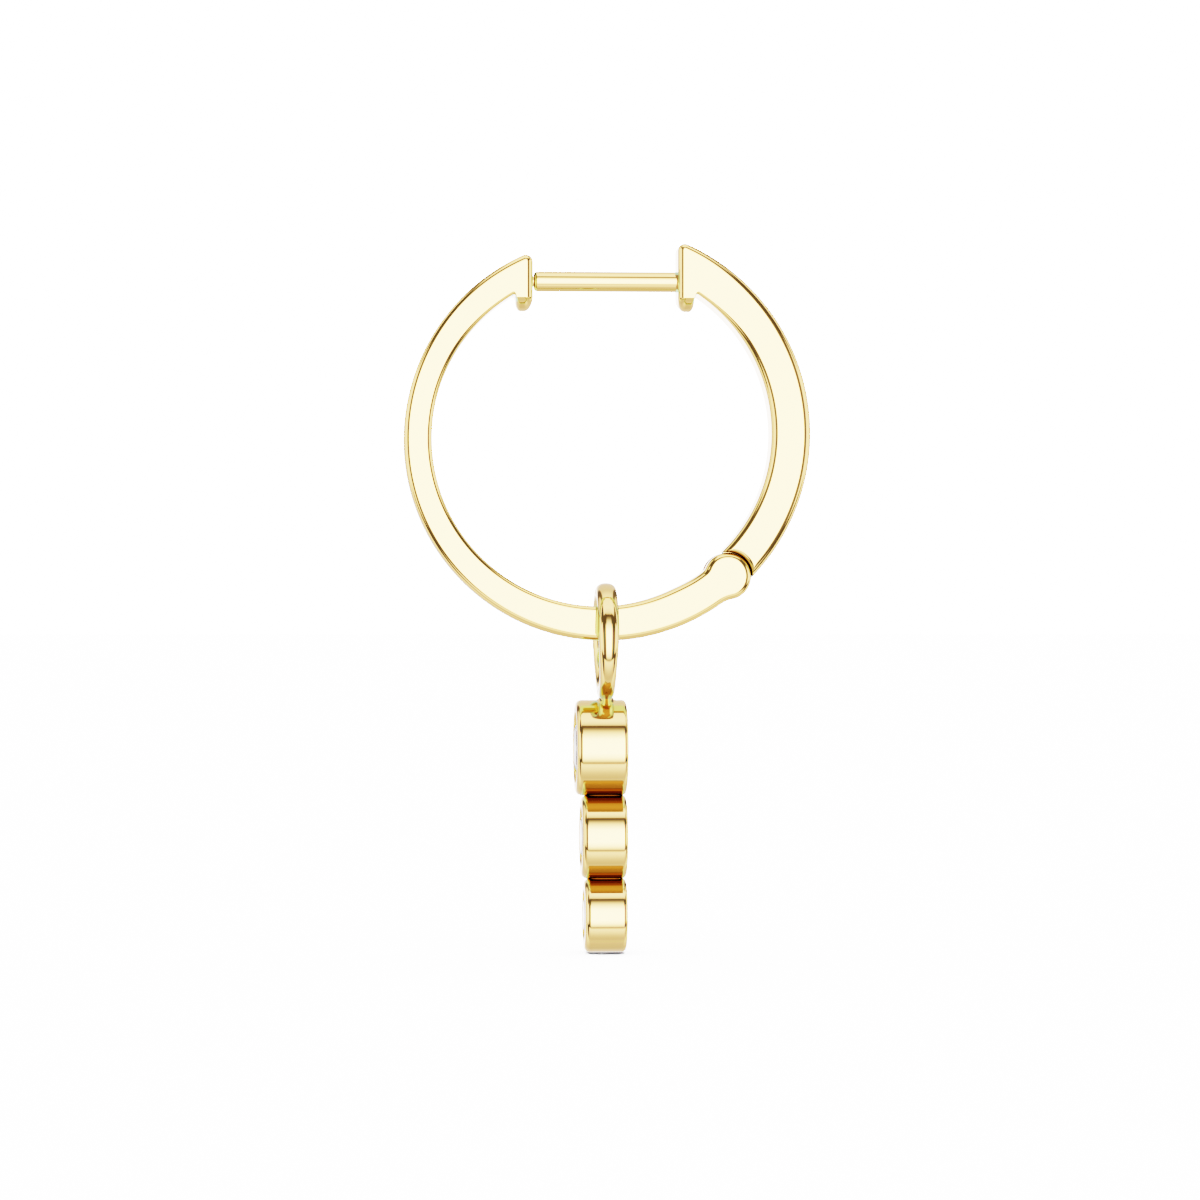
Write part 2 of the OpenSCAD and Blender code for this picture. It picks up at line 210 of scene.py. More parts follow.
def block_rim(out_centre, out_r, in_centre, in_r, soft, notch_soft):
    """Outline of an end block on the +X side: top corner, end face, rounded foot and notch."""
    corner_r = soft + 0.01
    corner_x = BLOCK_END + corner_r
    corner = Vector((corner_x, circle_top(out_centre, out_r - corner_r, corner_x)))
    made = bend(corner, corner_r, heading(out_centre, corner), 180, 8, soft, -1)
    for share in shares(5)[1:]:
        z = blend(corner.y, BLOCK_CREASE + 0.02, share)
        made.append((Vector((BLOCK_END, z)), Vector((BLOCK_END + soft, z)), soft, 0.0))
    for share in shares(10):
        turn = towards(180 + 90 * share)
        edge = Vector((BLOCK_END + FOOT_X + FOOT_X * turn.x, BLOCK_LOW + FOOT_Z + FOOT_Z * turn.y))
        face = Vector((blend(BLOCK_END + soft, TOE_FACE_X, share), BLOCK_CREASE))
        made.append((edge, face, soft, ease(share / 0.6)))
    for share in shares(4)[1:]:
        edge = Vector((blend(BLOCK_END + FOOT_X, BLOCK_FAR - HEEL_X, share), BLOCK_LOW))
        face = Vector((blend(TOE_FACE_X, SOLE_FACE_X, share), BLOCK_CREASE))
        made.append((edge, face, soft, 1.0))
    for share in shares(8)[1:]:
        turn = towards(270 + 90 * share)
        edge = Vector((BLOCK_FAR - HEEL_X + HEEL_X * turn.x, BLOCK_LOW + HEEL_Z + HEEL_Z * turn.y))
        face = Vector((blend(SOLE_FACE_X, HEEL_FACE_X, share), BLOCK_CREASE))
        made.append((edge, face, soft, 1.0))
    notch_x = BLOCK_FAR + NOTCH_R
    notch = Vector((notch_x, circle_top(in_centre, in_r - NOTCH_R, notch_x)))
    for share in shares(8)[1:]:
        edge = Vector((BLOCK_FAR, blend(BLOCK_LOW + HEEL_Z, notch.y, share)))
        face = Vector((blend(HEEL_FACE_X, NOTCH_FACE_X, share),
                       blend(BLOCK_CREASE, NOTCH_FACE_Z, ease(share))))
        made.append((edge, face, blend(soft, notch_soft, share), 1 - ease(share)))
    aim = heading(in_centre, notch)
    first = Vector((NOTCH_FACE_X, NOTCH_FACE_Z))
    pull = Vector((NOTCH_PULL_X, NOTCH_PULL_Z))
    last = Vector(in_centre) + towards(aim) * (in_r + notch_soft)
    for share in shares(8)[1:]:
        back = 1 - share
        face = first * back * back + pull * 2 * back * share + last * share * share
        made.append((notch + towards(blend(180, aim, share)) * NOTCH_R, face, notch_soft, 0.0))
    return made, heading(out_centre, corner), aim


FLAT_STEPS = 5
ROUND_STEPS = 8


def press(name, rim, half, guard=0.015):
    """Solid between two faces at Y = half and -half, whose rounded edges and sides follow a rim."""
    stations = FLAT_STEPS + ROUND_STEPS
    lines = []
    for edge, face, soft, lobe in rim:
        sag = max((face - edge).length, 0.05)
        lobe_r = (sag ** 2 + half ** 2) / (2 * sag)
        line = []
        for station in range(stations + 1):
            if station < FLAT_STEPS:
                y = (half - soft - guard) * station / (FLAT_STEPS - 1)
                inset = 0.0
            else:
                turn = math.radians(90 * (station - FLAT_STEPS) / ROUND_STEPS)
                y = half - soft + soft * math.sin(turn)
                inset = 1 - math.cos(turn)
            lobe_y = half * station / stations
            lobe_inset = (lobe_r - math.sqrt(lobe_r ** 2 - lobe_y ** 2)) / sag
            y = blend(y, lobe_y, lobe)
            place = edge + (face - edge) * blend(inset, lobe_inset, lobe)
            line.append((place.x, y, place.y))
        near = [(x, -y, z) for x, y, z in reversed(line[1:])]
        lines.append(near + line)
    across = 2 * stations + 1
    points = [point for line in lines for point in line]
    faces = []
    for number in range(len(lines)):
        after = (number + 1) % len(lines)
        for step in range(across - 1):
            faces.append((number * across + step, number * across + step + 1,
                          after * across + step + 1, after * across + step))
    faces.append(tuple(number * across for number in range(len(lines))))
    faces.append(tuple(number * across + across - 1 for number in reversed(range(len(lines)))))
    return workpiece(name, points, faces)


def clean(mesh):
    """Merges a mesh's doubles, drops its loose edges and turns its faces outwards."""
    work = bmesh.new()
    work.from_mesh(mesh)
    bmesh.ops.remove_doubles(work, verts=work.verts, dist=MERGE_DISTANCE)
    loose = [edge for edge in work.edges if not edge.link_faces]
    bmesh.ops.delete(work, geom=loose, context="EDGES")
    bmesh.ops.recalc_face_normals(work, faces=work.faces)
    work.to_mesh(mesh)
    work.free()


def workpiece(name, points, faces):
    """A closed piece, in millimetres."""
    mesh = bpy.data.meshes.new(name)
    mesh.from_pydata([tuple(point) for point in points], [], faces)
    clean(mesh)
    piece = bpy.data.objects.new(name, mesh)
    bpy.context.scene.collection.objects.link(piece)
    return piece


def lathe(name, profile, turns, place):
    """Turns a profile of (radius, height) pairs; place puts (across, aside, height) where it belongs."""
    points = []
    faces = []
    for turn in range(turns):
        way = towards(360 * turn / turns)
        points += [place(way.x * radius, way.y * radius, height) for radius, height in profile]
    count = len(profile)
    for turn in range(turns):
        after = (turn + 1) % turns
        for step in range(count):
            ahead = (step + 1) % count
            faces.append((turn * count + step, turn * count + ahead,
                          after * count + ahead, after * count + step))
    return workpiece(name, points, faces)


def on_hinge(across, aside, height):
    """Stands what the lathe turned on the hinge's axis, along Y."""
    return (HINGE.x + across, height, HINGE.y + aside)


def take_shape(piece):
    """Makes what a piece's modifiers give into its mesh."""
    result = piece.evaluated_get(bpy.context.evaluated_depsgraph_get())
    mesh = bpy.data.meshes.new_from_object(result)
    piece.modifiers.clear()
    piece.data = mesh


def settle(piece, modifier_kind, **settings):
    """Puts one modifier on a piece and makes its result the piece's mesh."""
    modifier = piece.modifiers.new("work", modifier_kind)
    for name, value in settings.items():
        setattr(modifier, name, value)
    take_shape(piece)


def join(piece, tool, operation):
    """Solders a tool onto a piece (UNION) or cuts it away (DIFFERENCE)."""
    settle(piece, "BOOLEAN", object=tool, operation=operation, solver="EXACT")
    bpy.data.objects.remove(tool)


def hand_over(piece, material, body, node):
    """Polishes a piece's edges, brings it to metres and gives it its place in the frame."""
    for polygon in piece.data.polygons:
        polygon.use_smooth = True
    piece.data.set_sharp_from_angle(angle=math.radians(SHARP_FROM))
    settle(piece, "WEIGHTED_NORMAL", keep_sharp=True, weight=50)
    piece.data.transform(Matrix.Scale(MM, 4))
    piece.data.materials.clear()
    piece.data.materials.append(material)
    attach(piece, body)
    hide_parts(node)


def back_inner_edge(turn):
    """Rounding of the inner edge at a heading in degrees, which grows away from the notch."""
    return blend(NOTCH_EDGE, INNER_EDGE, ease((55 - turn) / 25))


def hinge_tongue(in_corner, out_corner):
    """Tongue of the hinge, bored for the pin, and the thicker root that joins it to the arc."""
    neck = []
    start = heading(HINGE, in_corner) + 10
    end = heading(HINGE, out_corner) + 350
    for share in shares(40):
        way = towards(blend(start, end, share))
        neck.append((HINGE + way * TONGUE_R, HINGE + way * (TONGUE_R - TONGUE_EDGE), TONGUE_EDGE, 0.0))
    reach = HINGE_CUP_R + 0.25
    for radius in (BACK_OUT_R - 0.06, BACK_IN_R + 0.06):
        point = circles_cross(HINGE, reach, HOOP_CENTRE, radius, -1)
        neck.append((point, point + (HINGE - point).normalized() * TONGUE_EDGE, TONGUE_EDGE, 0.0))
    half = TONGUE_T / 2
    tongue = press("tongue", neck, half, guard=0.01)
    bore_half = 0.6
    bore = [(0.0, -bore_half), (TONGUE_HOLE_R, -bore_half), (TONGUE_HOLE_R, bore_half), (0.0, bore_half)]
    join(tongue, lathe("tongue_hole", bore, 64, on_hinge), "DIFFERENCE")
    slope_r = HINGE_CUP_R - 0.012
    deep_r = slope_r - 0.04
    root_r = HINGE_CUP_R + 0.03
    root_half = TONGUE_ROOT_T / 2
    slope_half = root_half - 0.12
    profile = [(deep_r, -half), (slope_r, -half), (slope_r, -slope_half), (root_r, -root_half),
               (root_r, root_half), (slope_r, slope_half), (slope_r, half), (deep_r, half)]
    root = lathe("tongue_root", profile, 96, on_hinge)
    join(root, press("root_limit", neck, root_half + 0.05, guard=0.01), "INTERSECT")
    join(tongue, root, "UNION")
    return tongue


def ear_post():
    """Ear post, with its root in the block, its free end rounded, and a thinner tip."""
    root = BLOCK_END + POST_ROOT
    round_r = POST_R - POST_END_ROUND
    round_end = POST_FREE_END + POST_END_ROUND
    profile = [(0.0, root)]
    profile += [(POST_R, length) for length in (root, 2.3, 1.0, -1.0, round_end + 0.02)]
    for turn in (0, -11, -22, -34, -45, -56, -67, -79, -90):
        way = towards(turn)
        profile.append((round_r + POST_END_ROUND * way.x, round_end + POST_END_ROUND * way.y))
    profile += [(TIP_R, POST_FREE_END), (TIP_R, TIP_END + 0.05), (TIP_R - 0.02, TIP_END + 0.015),
                (TIP_R - 0.05, TIP_END), (0.0, TIP_END)]
    return lathe("ear_post", profile, 72, lambda across, aside, height: (height, across, aside))


def back_arc():
    rim, top_turn, notch_turn = block_rim(HOOP_CENTRE, BACK_OUT_R, HOOP_CENTRE, BACK_IN_R,
                                          BACK_BLOCK_EDGE, NOTCH_EDGE)
    in_edge = back_inner_edge(-45)
    lip_r = HINGE_CUP_R + HINGE_LIP
    in_corner = circles_cross(HINGE, HINGE_CUP_R, HOOP_CENTRE, BACK_IN_R, -1)
    out_corner = circles_cross(HINGE, HINGE_CUP_R, HOOP_CENTRE, BACK_OUT_R, -1)
    in_face = circles_cross(HINGE, lip_r, HOOP_CENTRE, BACK_IN_R + in_edge, -1)
    out_face = circles_cross(HINGE, lip_r, HOOP_CENTRE, BACK_OUT_R - OUTER_EDGE, -1)
    for share in shares(72)[1:]:
        edge_turn = blend(notch_turn, heading(HOOP_CENTRE, in_corner), share)
        face_turn = blend(notch_turn, heading(HOOP_CENTRE, in_face), share)
        soft = back_inner_edge(edge_turn)
        rim.append((HOOP_CENTRE + towards(edge_turn) * BACK_IN_R,
                    HOOP_CENTRE + towards(face_turn) * (BACK_IN_R + soft), soft, 0.0))
    for share in shares(24)[1:]:
        edge_turn = blend(heading(HINGE, in_corner), heading(HINGE, out_corner), share)
        face_turn = blend(heading(HINGE, in_face), heading(HINGE, out_face), share)
        near = max(0.0, 1 - 6 * min(share, 1 - share))
        soft = blend(HINGE_LIP_DEPTH, blend(in_edge, OUTER_EDGE, share), near * near)
        rim.append((HINGE + towards(edge_turn) * HINGE_CUP_R, HINGE + towards(face_turn) * lip_r, soft, 0.0))
    for share in shares(84)[1:-1]:
        edge_turn = blend(heading(HOOP_CENTRE, out_corner), top_turn, share)
        face_turn = blend(heading(HOOP_CENTRE, out_face), top_turn, share)
        soft = blend(OUTER_EDGE, BACK_BLOCK_EDGE, ease((edge_turn - top_turn + 25) / 25))
        rim.append((HOOP_CENTRE + towards(edge_turn) * BACK_OUT_R,
                    HOOP_CENTRE + towards(face_turn) * (BACK_OUT_R - soft), soft, 0.0))
    arc = press("back_arc_gold", rim, BAND_HALF)
    join(arc, ear_post(), "UNION")
    join(arc, hinge_tongue(in_corner, out_corner), "UNION")
    return arc


hand_over(back_arc(), GOLD, "back", "back_arc")


# Front arc of the hoop, of the same gold. It opens on the hinge, so its lower end is a round knuckle,
# slotted for the tongue and swelling a little past the band, and its end block is slotted for the
# post's tip, which snaps in.
FRONT_OUT_CENTRE = Vector((0, -5.47))
FRONT_OUT_R = 6.94
FRONT_IN_CENTRE = Vector((-0.21, -5.45))
FRONT_IN_R = 5.76
KNUCKLE_R = 0.815
KNUCKLE_EDGE = 0.24
FRONT_BLOCK_EDGE = 0.24
FRONT_EDGE = 0.215
FRONT_INNER_EDGE = 0.195
FRONT_FOOT_EDGE = 0.245
VALLEY_DEPTH = 0.05
HINGE_SLOT_R = 0.83
HINGE_SLOT_HALF = 0.33
PIN_SEAT_R = 0.235
PIN_SEAT_HALF = 0.725
LATCH_HALF = 0.22
LATCH_TOP = 0.484
LATCH_MOUTH = -2.0
LATCH_DEEP = -2.94


def within_half_turn(start, end):
    """The heading end, counted so that it lies no more than half a turn from start."""
    while end < start - 180:
        end += 360
    while end > start + 180:
        end -= 360
    return end


def front_arc():
    """Made as its mirror image, so that its block is on the +X side as the back arc's is."""
    out_centre = Vector((-FRONT_OUT_CENTRE.x, FRONT_OUT_CENTRE.y))
    in_centre = Vector((-FRONT_IN_CENTRE.x, FRONT_IN_CENTRE.y))
    knuckle = Vector((-HINGE.x, HINGE.y))
    rim, top_turn, notch_turn = block_rim(out_centre, FRONT_OUT_R, in_centre, FRONT_IN_R,
                                          FRONT_BLOCK_EDGE, NOTCH_EDGE)
    valley_r = 0.4
    valley_in_r = FRONT_IN_R + VALLEY_DEPTH
    valley = circles_cross(knuckle, KNUCKLE_R + valley_r, in_centre, valley_in_r - valley_r, -1)
    dip_r = 1.0
    dip = circles_cross(knuckle, KNUCKLE_R + dip_r, out_centre, FRONT_OUT_R + dip_r, -1)
    valley_turn = heading(in_centre, valley)
    dip_turn = heading(out_centre, dip)

    def inner_edge(turn):
        """Rounding of the inner edge at a heading, which grows from the notch and to the knuckle."""
        level = blend(NOTCH_EDGE, FRONT_INNER_EDGE, ease((55 - turn) / 25))
        return blend(level, KNUCKLE_EDGE, ease((-80 - turn) / 44))

    def outer_edge(turn):
        """Rounding of the outer edge at a heading, with its own size at block, foot and knuckle."""
        level = blend(FRONT_EDGE, FRONT_BLOCK_EDGE, ease((turn - top_turn + 25) / 25))
        level = blend(level, FRONT_FOOT_EDGE, ease((-15 - turn) / 50))
        return blend(level, KNUCKLE_EDGE, ease((-100 - turn) / 24))

    for share in shares(130)[1:]:
        turn = blend(notch_turn, valley_turn, share)
        way = towards(turn)
        soft = inner_edge(turn)
        radius = FRONT_IN_R + VALLEY_DEPTH * ease((valley_turn + 13 - turn) / 13)
        rim.append((in_centre + way * radius, in_centre + way * (radius + soft), soft, 0.0))
    start = heading(valley, in_centre) + 180
    end = within_half_turn(start, heading(valley, knuckle))
    rim += bend(valley, valley_r, start, end, 12, KNUCKLE_EDGE, 1)[1:]
    start = heading(knuckle, valley)
    end = heading(knuckle, dip)
    while end < start:
        end += 360
    rim += bend(knuckle, KNUCKLE_R, start, end, 56, KNUCKLE_EDGE, -1)[1:]
    start = heading(dip, knuckle)
    end = within_half_turn(start, heading(dip, out_centre))
    rim += bend(dip, dip_r, start, end, 12, KNUCKLE_EDGE, 1)[1:]
    for share in shares(150)[1:-1]:
        turn = blend(dip_turn, top_turn, share)
        way = towards(turn)
        soft = outer_edge(turn)
        rim.append((out_centre + way * FRONT_OUT_R, out_centre + way * (FRONT_OUT_R - soft), soft, 0.0))
    rim = [(Vector((-edge.x, edge.y)), Vector((-face.x, face.y)), soft, lobe)
           for edge, face, soft, lobe in rim]
    arc = press("front_arc_gold", rim, BAND_HALF)
    corners = ((LATCH_DEEP, -LATCH_HALF), (LATCH_MOUTH, -LATCH_HALF),
               (LATCH_MOUTH, LATCH_TOP), (LATCH_DEEP, LATCH_TOP))
    latch = [(Vector(corner), Vector(corner), 0.02, 0.0) for corner in corners]
    join(arc, press("latch_slot", latch, LATCH_HALF), "DIFFERENCE")
    profile = [(0.0, -PIN_SEAT_HALF), (PIN_SEAT_R, -PIN_SEAT_HALF), (PIN_SEAT_R, -HINGE_SLOT_HALF),
               (HINGE_SLOT_R, -HINGE_SLOT_HALF), (HINGE_SLOT_R, HINGE_SLOT_HALF),
               (PIN_SEAT_R, HINGE_SLOT_HALF), (PIN_SEAT_R, PIN_SEAT_HALF), (0.0, PIN_SEAT_HALF)]
    join(arc, lathe("hinge_slot", profile, 94, on_hinge), "DIFFERENCE")
    return arc


hand_over(front_arc(), GOLD, "front", "front_arc")


# Hinge pin, a short length of gold wire through the knuckle's cheeks and the tongue. It can't be seen:
# the cheeks are polished over its ends, so the solid from the frame stays and takes the gold.
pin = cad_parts["hinge_pin"]
pin.data.materials.clear()
pin.data.materials.append(GOLD)


# Bail, a ring of flattened round wire that hangs round the band, and swings on it. It narrows a little
# towards its foot, where it is soldered to the top cup.
BAIL_X = 0.04
BAIL_Z = -12.4465
BAIL_R = 1.745
BAIL_WIRE_T = 0.6
BAIL_WIRE_W = 0.72
BAIL_FOOT_W = 0.56
BAIL_SQUARENESS = 2.35
BAIL_SIZES = {"ring radius": BAIL_R, "wire thickness": BAIL_WIRE_T, "wire width": BAIL_WIRE_W,
              "foot width": BAIL_FOOT_W, "squareness": BAIL_SQUARENESS, "centre x": BAIL_X,
              "centre z": BAIL_Z}


class Strand(Wire):
    """A socket of a geometry tree. Its nodes are asked for by their full names."""

    family = ""

    def maths(self, work, first, second=0.0):
        return self.node("ShaderNodeMath", {"operation": work}, {0: first, 1: second})

    def __pow__(self, other):
        return self.maths("POWER", self, other)


def bail_tree():
    """Bends a wire of superelliptic section into an upright ring and narrows its foot."""
    tree = bpy.data.node_groups.new("bail_ring", "GeometryNodeTree")
    tree.interface.new_socket("Geometry", in_out="OUTPUT", socket_type="NodeSocketGeometry")
    sockets = {}
    for name in BAIL_SIZES:
        socket = tree.interface.new_socket(name, in_out="INPUT", socket_type="NodeSocketFloat")
        sockets[name] = socket.identifier
    given = tree.nodes.new("NodeGroupInput")
    bench = Strand(tree)
    size = {name: Strand(tree, given.outputs[name]) for name in sockets}
    ring = bench.node("GeometryNodeCurvePrimitiveCircle", {},
                      {"Resolution": 160, "Radius": size["ring radius"]})
    section = bench.node("GeometryNodeCurvePrimitiveCircle", {}, {"Resolution": 40, "Radius": 1.0})
    spot = bench.node("GeometryNodeInputPosition")
    east, north, height = [bench.node("ShaderNodeSeparateXYZ", {}, {0: spot}, out=axis)
                           for axis in range(3)]
    swell = (bench.maths("ABSOLUTE", east) ** size["squareness"]
             + bench.maths("ABSOLUTE", north) ** size["squareness"]) ** (0 - 1 / BAIL_SQUARENESS)
    shaped = bench.node("ShaderNodeCombineXYZ", {}, {0: east * swell * size["wire thickness"] * 0.5,
                                                     1: north * swell * size["wire width"] * 0.5})
    section = bench.node("GeometryNodeSetPosition", {}, {"Geometry": section, "Position": shaped})
    band = bench.node("GeometryNodeCurveToMesh", {}, {"Curve": ring, "Profile Curve": section})
    lowness = bench.node("ShaderNodeMapRange", {"interpolation_type": "SMOOTHSTEP"},
                         {"Value": north, "From Min": size["ring radius"] * 0.35,
                          "From Max": size["ring radius"] * -0.95, "To Min": 0.0, "To Max": 1.0})
    narrow = 1 - lowness * (1 - size["foot width"] / size["wire width"])
    stood = bench.node("ShaderNodeCombineXYZ", {}, {0: height * narrow + size["centre x"], 1: east,
                                                    2: north + size["centre z"]})
    band = bench.node("GeometryNodeSetPosition", {}, {"Geometry": band, "Position": stood})
    band = bench.node("GeometryNodeRealizeInstances", {}, {0: band})
    band = bench.node("GeometryNodeSetMaterial", {}, {"Geometry": band, "Material": GOLD})
    given_back = tree.nodes.new("NodeGroupOutput")
    tree.links.new(band.plug, given_back.inputs[0])
    return tree, sockets


def bail_ring():
    tree, sockets = bail_tree()
    piece = bpy.data.objects.new("bail_ring", bpy.data.meshes.new("bail_ring"))
    bpy.context.scene.collection.objects.link(piece)
    modifier = piece.modifiers.new("bail", "NODES")
    modifier.node_group = tree
    for name, value in BAIL_SIZES.items():
        modifier[sockets[name]] = value
    take_shape(piece)
    clean(piece.data)
    return piece


charm = bail_ring()


# Three round bezel cups in one line under the bail, gold, turned and bored, with flush backs. Each has a
# light hole behind its stone, a seat for the stone's edge, and a rim that was rubbed over it. The cups
# are soldered to each other where they touch, and the bail's foot stands in a collar of solder.
CUP_BACK_X = 0.74
CUP_BACK_EDGE = 0.15
CUP_RIM_EDGE = 0.21
CUP_WALL = 0.405
RIM_GRIP = 0.04
SEAT_GAP = 0.04
TABLE_SHARE = 0.57
GIRDLE_SHARE = 0.03
CROWN_FALL = math.tan(math.radians(34.5))
PAVILION_FALL = math.tan(math.radians(41))
Cup = namedtuple("Cup", "stone_d depth z")
CUPS = (Cup(2.5, 1.76, -16.0965), Cup(2.08, 1.56, -19.1765), Cup(1.75, 1.46, -21.8815))
WEB_HALF = 0.22
WEB_FLARE = 0.13
WEB_RISE = 0.12
COLLAR_TOP_X = 0.265
COLLAR_FOOT_X = 0.45
COLLAR_TOP_Y = 0.55
COLLAR_FOOT_Y = 0.86


def cup_radius(cup):
    """Outer radius of a cup, from its stone and its wall."""
    return cup.stone_d / 2 + CUP_WALL


def rounding(radius, height, soft, start, end):
    """Rounded edge of a turned profile, as (radius, height) pairs."""
    ways = [towards(blend(start, end, share)) for share in shares(8)]
    return [(radius + soft * way.x, height + soft * way.y) for way in ways]


def bezel_cup(cup):
    stone_r = cup.stone_d / 2
    depth = cup.depth
    cup_r = cup_radius(cup)
    seat_r = stone_r + SEAT_GAP
    mouth_r = stone_r - RIM_GRIP
    hole_r = stone_r * 0.5
    girdle_top = depth - stone_r * (1 - TABLE_SHARE) * CROWN_FALL
    girdle_low = girdle_top - cup.stone_d * GIRDLE_SHARE
    guard = 0.015
    profile = [(hole_r, 0.03), (hole_r + 0.03, 0.0), (cup_r - CUP_BACK_EDGE - guard, 0.0)]
    profile += rounding(cup_r - CUP_BACK_EDGE, CUP_BACK_EDGE, CUP_BACK_EDGE, -90, 0)
    profile += [(cup_r, CUP_BACK_EDGE + guard), (cup_r, depth / 2), (cup_r, depth - CUP_RIM_EDGE - guard)]
    profile += rounding(cup_r - CUP_RIM_EDGE, depth - CUP_RIM_EDGE, CUP_RIM_EDGE, 0, 90)
    profile += [(cup_r - CUP_RIM_EDGE - guard, depth), (mouth_r + 0.07, depth),
                (mouth_r + 0.045, depth - 0.008), (mouth_r + 0.02, depth - 0.03), (mouth_r, depth - 0.08),
                (mouth_r, girdle_top + (seat_r - mouth_r) * CROWN_FALL), (seat_r, girdle_top),
                (seat_r, girdle_low), (hole_r, girdle_low - (seat_r - hole_r) * PAVILION_FALL)]
    return lathe("cup", profile, 128,
                 lambda across, aside, height: (CUP_BACK_X - height, aside, cup.z + across))


def tube_faces(rows, count):
    """Faces of a tube with closed ends, whose points are rows + 1 rings of count points."""
    faces = []
    for row in range(rows):
        for step in range(count):
            ahead = (step + 1) % count
            faces.append((row * count + step, row * count + ahead,
                          (row + 1) * count + ahead, (row + 1) * count + step))
    faces.append(tuple(range(count)))
    faces.append(tuple(rows * count + step for step in reversed(range(count))))
    return faces


def solder_web(upper, lower):
    """Solder between two cups: its front and back are hollow, and its ends are rounded off."""
    length = lower.depth - CUP_BACK_EDGE - CUP_RIM_EDGE
    start = CUP_BACK_X - CUP_BACK_EDGE - length
    middle = (upper.z - cup_radius(upper) + lower.z + cup_radius(lower)) / 2
    rows = 12
    outline = []
    for share in shares(8):
        lift = blend(-1, 1, share)
        outline.append((WEB_HALF + WEB_FLARE * abs(lift), lift * WEB_RISE))
    outline += [(-y, z) for y, z in reversed(outline)]
    points = []
    for share in shares(rows):
        x = start + length * share
        shrink = 1 - 0.35 * (abs(2 * share - 1) ** 6)
        points += [(x, y * shrink, middle + z) for y, z in outline]
    return workpiece("web", points, tube_faces(rows, len(outline)))


def foot_solder(cup):
    """Collar of solder round the bail's foot, which spreads over the top cup's curved side."""
    cup_r = cup_radius(cup)
    ring_out_r = BAIL_R + BAIL_WIRE_T / 2
    rows = 12
    turns = 72
    points = []
    for share in shares(rows):
        spread = 1 - math.sin(math.radians(90 * share))
        lift = 1 - math.cos(math.radians(90 * share))
        for turn in range(turns):
            way = towards(360 * turn / turns)
            x = way.x * blend(COLLAR_TOP_X, COLLAR_FOOT_X, spread)
            y = way.y * blend(COLLAR_TOP_Y, COLLAR_FOOT_Y, spread)
            ground = cup.z + math.sqrt(cup_r ** 2 - y ** 2) - 0.012
            under = BAIL_Z - math.sqrt(ring_out_r ** 2 - y ** 2) + 0.1
            points.append((BAIL_X + x, y, blend(ground, under, lift)))
    return workpiece("foot_solder", points, tube_faces(rows, turns))


for cup in CUPS:
    join(charm, bezel_cup(cup), "UNION")
for upper, lower in zip(CUPS, CUPS[1:]):
    join(charm, solder_web(upper, lower), "UNION")
join(charm, foot_solder(CUPS[0]), "UNION")
hand_over(charm, GOLD, "charm", "charm_setting")


# Three round brilliants, white, each with a table and 56 facets, in their seats. The facets' edges have to
# stay sharp, so the solids from the frame are kept as they are, and take the stone's clear body.
def clear_stone():
    stone = bpy.data.materials.new("clear_stone")
    stone.use_nodes = True
    stone.node_tree.nodes.clear()
    bench = Wire(stone.node_tree)
    place = bench.node("TexCoord", out="Object")
    veil = bench.node("TexNoise", {"noise_dimensions": "3D"},
                      {"Vector": place, "Scale": 900.0, "Detail": 1.0})
    body = bench.node("Mix", {"data_type": "RGBA"},
                      {0: veil, 6: (0.975, 0.975, 0.98, 1), 7: (1.0, 1.0, 1.0, 1)}, out=2)
    glass = bench.node("BsdfPrincipled", {}, {"Base Color": body, "Roughness": 0.0, "IOR": 2.42,
                                              "Transmission Weight": 1.0})
    bench.node("OutputMaterial", {}, {"Surface": glass})
    return stone


STONE = clear_stone()
for name in ("stone_top", "stone_middle", "stone_bottom"):
    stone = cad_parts[name]
    stone.data.materials.clear()
    stone.data.materials.append(STONE)


# A pale studio: a white floor that fades into the background, and a white room with one large soft card
# in front of the earring. A narrow dark gap runs round the card, and draws the dark lines in the gold.
# The floor is lit from straight above only, so the lowest cup lays a small dark shadow on it.
FLOOR_Z = -23.185
FLOOR_REACH = 3.0


def pale_floor():
    paper = bpy.data.materials.new("white_paper")
    paper.use_nodes = True
    paper.node_tree.nodes.clear()
    bench = Wire(paper.node_tree)
    place = bench.node("TexCoord", out="Object")
    fibre = bench.node("TexNoise", {"noise_dimensions": "3D"},
                       {"Vector": place, "Scale": 60.0, "Detail": 3.0})
    tone = bench.node("Mix", {"data_type": "RGBA"},
                      {0: fibre, 6: (0.86, 0.86, 0.86, 1), 7: (0.88, 0.88, 0.88, 1)}, out=2)
    sheet = bench.node("BsdfPrincipled", {},
                       {"Base Color": tone, "Roughness": 0.9, "Specular IOR Level": 0.0})
    bench.node("OutputMaterial", {}, {"Surface": sheet})
    corners = ((-1, -1), (1, -1), (1, 1), (-1, 1))
    mesh = bpy.data.meshes.new("floor")
    mesh.from_pydata([(x * FLOOR_REACH, y * FLOOR_REACH, FLOOR_Z * MM) for x, y in corners],
                     [], [(0, 1, 2, 3)])
    mesh.materials.append(paper)
    floor = bpy.data.objects.new("floor", mesh)
    bpy.context.scene.collection.objects.link(floor)
    floor.visible_glossy = False
    floor.visible_transmission = False


